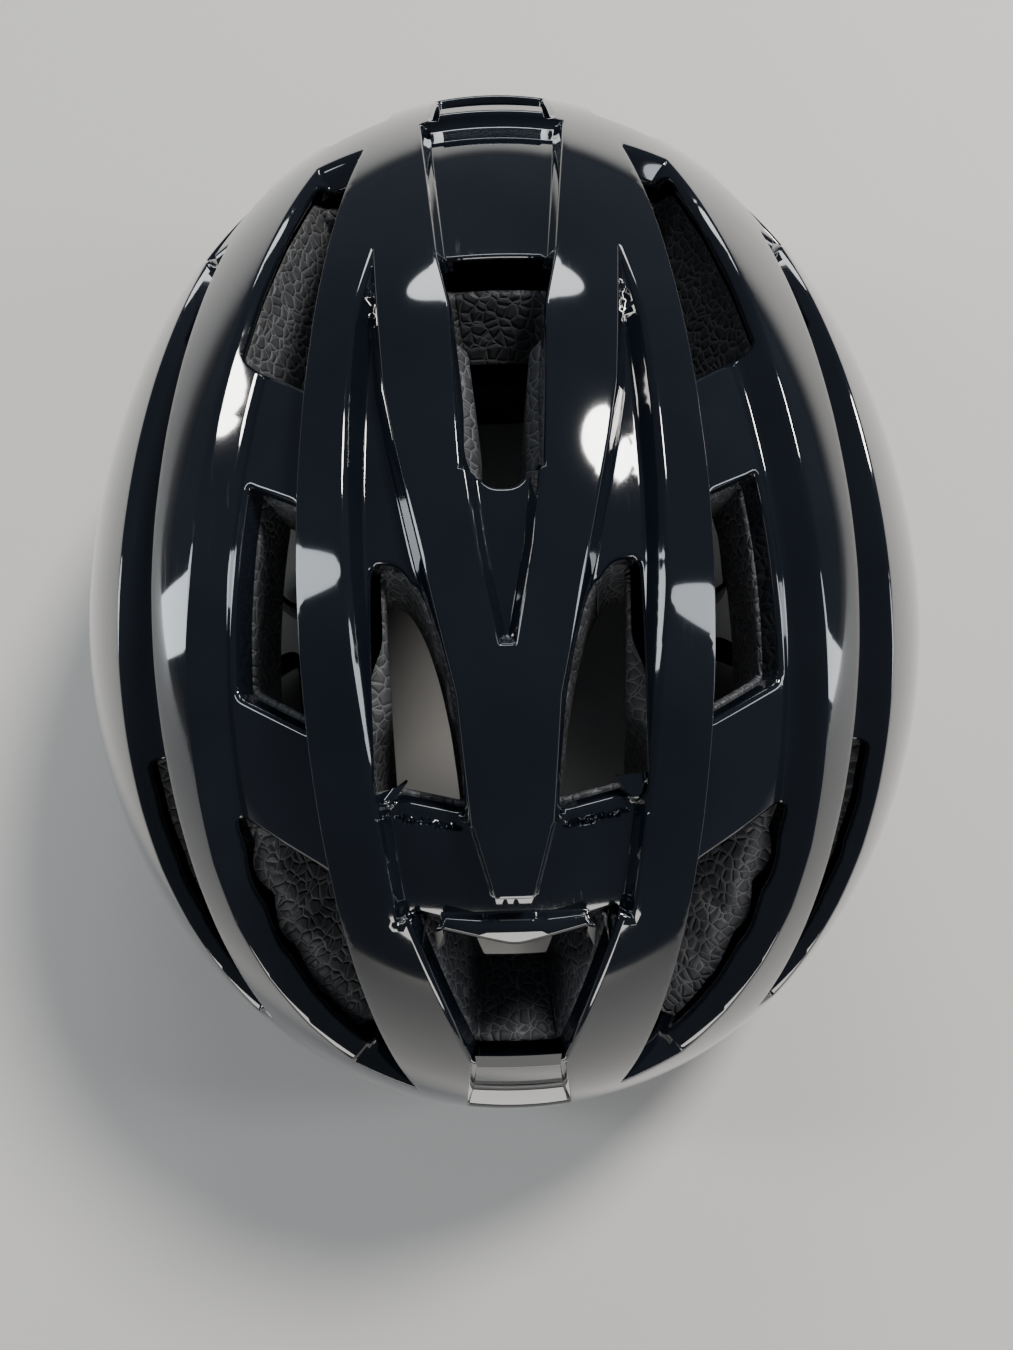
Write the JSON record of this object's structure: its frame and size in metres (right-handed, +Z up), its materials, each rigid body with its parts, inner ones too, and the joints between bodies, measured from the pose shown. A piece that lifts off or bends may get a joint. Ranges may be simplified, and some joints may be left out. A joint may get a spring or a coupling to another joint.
{
  "type": "cycling helmet",
  "caption": "Vented in-mould road cycling helmet with ribbed foam liner, glossy shell, dial-fit cradle, webbing and chin buckle.",
  "frame": {"origin": "on the ground under the middle of the helmet's length and width", "axes": "+Z up, front of the helmet towards -Y, right in a name is the +X side, as seen from in front"},
  "size_m": [0.208, 0.264, 0.1498],
  "materials": {
    "gloss_shell": "gloss black moulded skin",
    "eps_foam": "dark bead foam",
    "pad_fabric": "black knit",
    "webbing": "black woven webbing",
    "nylon": "black moulded nylon",
    "dial_rubber": "black soft-touch rubber",
    "steel": "brushed pins",
    "sheath_leather": "black synthetic leather",
    "hook": "hook tape",
    "label": "blank white sticker"
  },
  "bodies": {
    "helmet": {"eps_liner": "eps_foam", "top_shell": "gloss_shell", "lower_rim_shell": "gloss_shell", "reinforcement_hoop": "nylon", "brow_pad": "pad_fabric", "back_pad": "pad_fabric", "crown_pad_left": "pad_fabric", "crown_pad_right": "pad_fabric", "side_pad_left": "pad_fabric", "side_pad_right": "pad_fabric", "hook_dots": "hook", "front_strap_anchors": "nylon", "rear_strap_anchors": "nylon", "chin_sheath": "sheath_leather", "buckle_socket": "nylon", "blank_label": "label", "temple_anchor_left": "nylon", "temple_anchor_right": "nylon", "temple_pin_left": "steel", "temple_pin_right": "steel", "front_strap_left": "webbing", "front_strap_right": "webbing", "rear_strap_left": "webbing", "rear_strap_right": "webbing", "strap_divider_left": "nylon", "strap_divider_right": "nylon", "chin_strap_left": "webbing", "chin_strap_right": "webbing"},
    "bands": {"side_band_left": "nylon", "side_band_right": "nylon"},
    "cradle": {"cradle": "nylon", "housing_cover": "nylon", "occipital_pivots": "steel"},
    "dial": {"dial_knob": "dial_rubber", "dial_cap": "nylon", "pinion": "nylon"},
    "rack_right": {"rack_right": "nylon"},
    "rack_left": {"rack_left": "nylon"},
    "occipital_right": {"occipital_pad_right": "dial_rubber"},
    "occipital_left": {"occipital_pad_left": "dial_rubber"},
    "plug": {"buckle_plug": "nylon"},
    "arm_upper": {"buckle_arm_upper": "nylon"},
    "arm_lower": {"buckle_arm_lower": "nylon"},
    "keeper": {"keeper_loop": "nylon"}
  },
  "joints": [
    {"name": "cradle_tilt", "type": "hinge", "parent": "helmet", "child": "bands", "pos_m": [0, -0.058, 0.044], "axis": [1, 0, 0], "range_deg": [-3, 10]},
    {"name": "fit_slide", "type": "slide", "parent": "bands", "child": "cradle", "axis": [0, -1, 0], "range_m": [0, 0.016]},
    {"name": "dial_turn", "type": "hinge", "parent": "cradle", "child": "dial", "pos_m": [0, 0.082, 0.017], "axis": [0, -1, 0], "range_deg": [0, 229]},
    {"name": "rack_right_slide", "type": "slide", "parent": "cradle", "child": "rack_right", "axis": [-1, 0, 0], "range_m": [0, 0.016]},
    {"name": "rack_left_slide", "type": "slide", "parent": "cradle", "child": "rack_left", "axis": [1, 0, 0], "range_m": [0, 0.016]},
    {"name": "occipital_right_swivel", "type": "hinge", "parent": "cradle", "child": "occipital_right", "pos_m": [0.04213, 0.06498, 0.022], "axis": [0, 0, 1], "range_deg": [-6, 6]},
    {"name": "occipital_left_swivel", "type": "hinge", "parent": "cradle", "child": "occipital_left", "pos_m": [-0.04213, 0.06498, 0.022], "axis": [0, 0, 1], "range_deg": [-6, 6]},
    {"name": "buckle_release", "type": "slide", "parent": "helmet", "child": "plug", "axis": [1, 0, 0], "range_m": [0, 0.018], "deforming": ["chin_strap_right"]},
    {"name": "arm_upper_squeeze", "type": "hinge", "parent": "plug", "child": "arm_upper", "pos_m": [0.0044, -0.066, 0.0141], "axis": [0, -1, 0], "range_deg": [0, 4], "stiffness_Nm_per_rad": 0.05},
    {"name": "arm_lower_squeeze", "type": "hinge", "parent": "plug", "child": "arm_lower", "pos_m": [0.0044, -0.066, 0.0027], "axis": [0, 1, 0], "range_deg": [0, 4], "stiffness_Nm_per_rad": 0.05},
    {"name": "keeper_slide", "type": "slide", "parent": "helmet", "child": "keeper", "axis": [0, 1, 0], "range_m": [-0.014, 0.012]}
  ],
  "couplings": [
    {"joint": "dial_turn", "follows": "fit_slide", "rad_per_m": 249.8},
    {"joint": "rack_right_slide", "follows": "fit_slide", "ratio": 1},
    {"joint": "rack_left_slide", "follows": "fit_slide", "ratio": 1}
  ]
}
